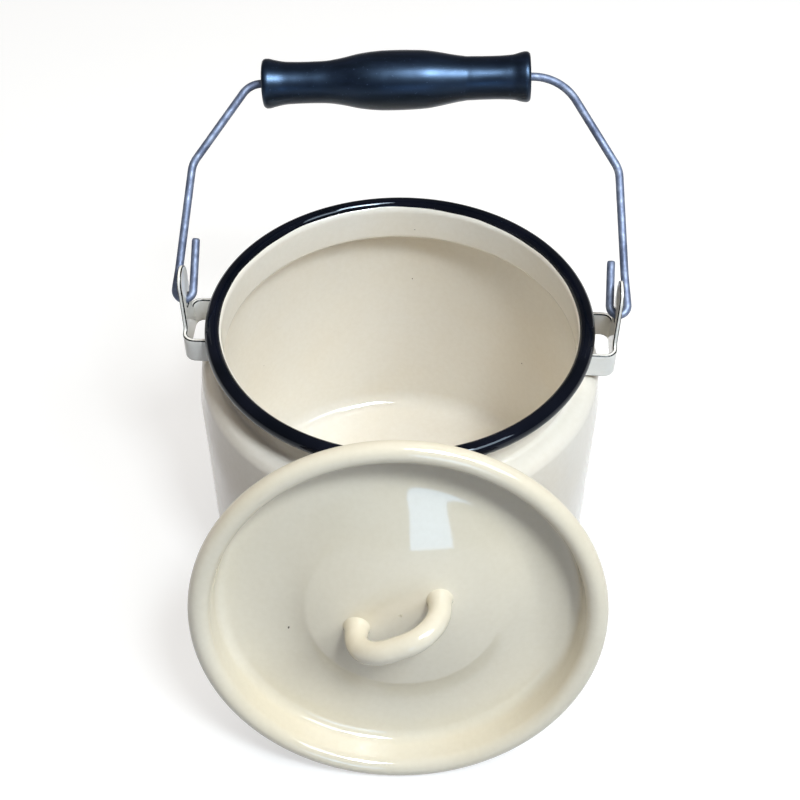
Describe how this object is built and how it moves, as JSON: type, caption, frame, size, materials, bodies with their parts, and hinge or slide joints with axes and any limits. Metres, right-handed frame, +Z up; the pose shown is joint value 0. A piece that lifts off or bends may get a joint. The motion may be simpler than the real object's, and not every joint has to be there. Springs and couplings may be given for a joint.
{
  "type": "enamel canister",
  "caption": "Round enamelled steel canister with a short neck, a rolled rim, a wire bail with a turned grip, and a lift-off lid that leans against its front.",
  "frame": {"origin": "centre of the can's flat base, on the surface that it stands on", "axes": "+Z up along the can's axis, X through both ears, -Y towards the lid that leans at the front"},
  "size_m": [0.1965, 0.2294, 0.2248],
  "materials": {
    "cream_enamel": "glossy fired enamel",
    "black_enamel": "glossy fired enamel",
    "zinc_wire": "galvanised, dull",
    "black_lacquer": "turned wood under black lacquer"
  },
  "bodies": {
    "can": {"body_shell": "cream_enamel", "rim_bead": "black_enamel", "left_ear": "cream_enamel", "right_ear": "cream_enamel"},
    "bail": {"bail_wire": "zinc_wire"},
    "grip": {"grip": "black_lacquer"},
    "lid": {"lid_pan": "cream_enamel", "lid_handle": "cream_enamel"}
  },
  "joints": [
    {"name": "bail_swing", "type": "hinge", "parent": "can", "child": "bail", "pos_m": [0, 0, 0.1486], "axis": [1, 0, 0], "range_deg": [-50, 120]},
    {"name": "grip_spin", "type": "hinge", "parent": "bail", "child": "grip", "pos_m": [-0.0056, 0.07553, 0.21198], "axis": [0.9983, 0.0441, 0.037], "continuous": true},
    {"name": "lid_lift", "type": "slide", "parent": "can", "child": "lid", "axis": [0, 0, 1], "range_m": [0, 0.25]}
  ]
}
